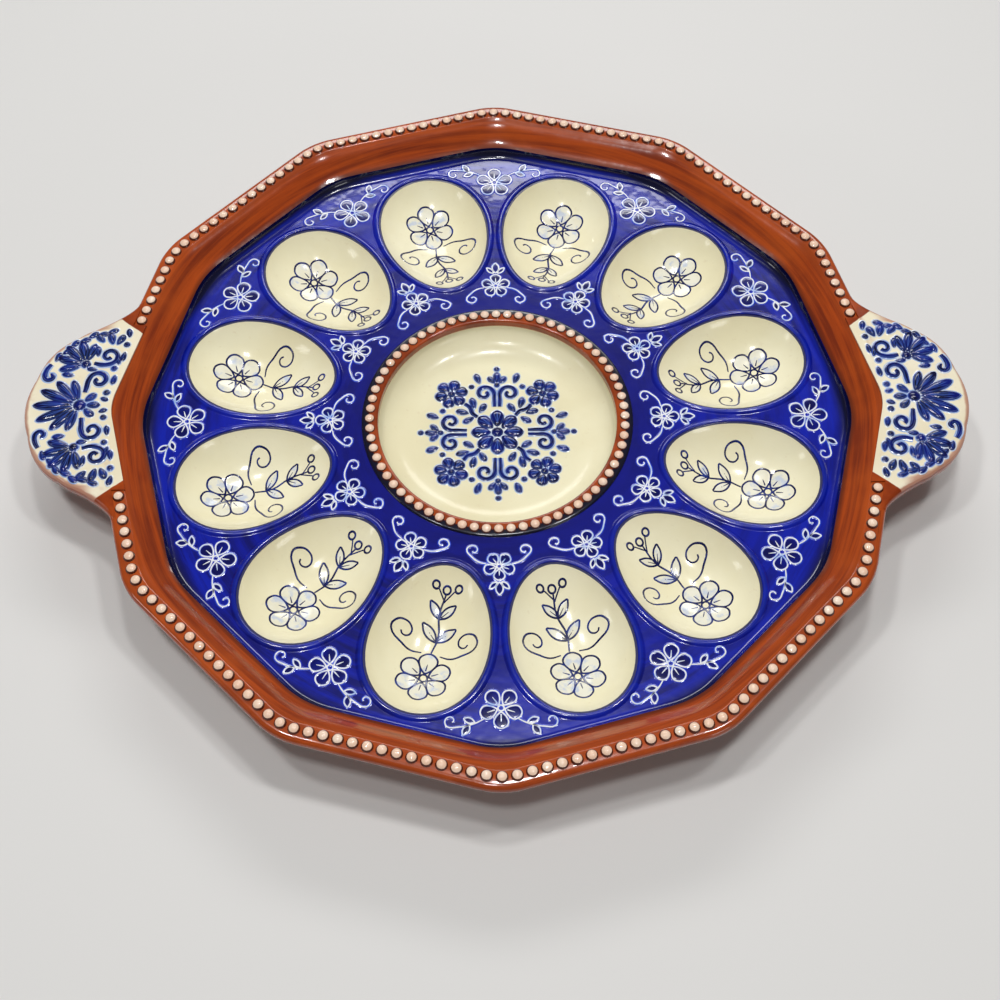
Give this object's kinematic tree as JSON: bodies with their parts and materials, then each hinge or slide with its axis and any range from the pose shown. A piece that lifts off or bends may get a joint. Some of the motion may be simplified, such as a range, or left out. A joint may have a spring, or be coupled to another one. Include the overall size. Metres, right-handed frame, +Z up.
{
  "type": "deviled egg platter",
  "caption": "Glazed stoneware egg platter: many-sided tray with egg-shaped wells round a centre dish, beaded rolled rim and relief ear handles.",
  "frame": {"origin": "on the table, under the middle of the platter", "axes": "+X from handle to handle, +Y square to it across the platter, +Z up"},
  "size_m": [0.3966, 0.3392, 0.038],
  "materials": {
    "cobalt_glaze": "cobalt blue brushed glaze under a high gloss",
    "brown_glaze": "red-brown glossy glaze, breaking lighter on edges",
    "cream_glaze": "warm cream glossy glaze",
    "bead_glaze": "pale cream painted dots on brown beads, glossy",
    "relief_glaze": "dark cobalt painted relief with pale edges, glossy",
    "bare_stoneware": "bare fired clay, matte and slightly sandy"
  },
  "bodies": {
    "root": {"tray_floor": "cobalt_glaze", "rim": "brown_glaze", "foot_ring": "bare_stoneware", "centre_dish": "cream_glaze", "centre_ring": "brown_glaze", "centre_beads": "bead_glaze", "centre_relief": "relief_glaze", "rim_beads_back": "bead_glaze", "rim_beads_front": "bead_glaze", "handle_left": "cream_glaze", "handle_right": "cream_glaze", "handle_relief_left": "relief_glaze", "handle_relief_right": "relief_glaze", "egg_well_01": "cream_glaze", "egg_well_02": "cream_glaze", "egg_well_03": "cream_glaze", "egg_well_04": "cream_glaze", "egg_well_05": "cream_glaze", "egg_well_06": "cream_glaze", "egg_well_07": "cream_glaze", "egg_well_08": "cream_glaze", "egg_well_09": "cream_glaze", "egg_well_10": "cream_glaze", "egg_well_11": "cream_glaze", "egg_well_12": "cream_glaze"}
  },
  "joints": []
}
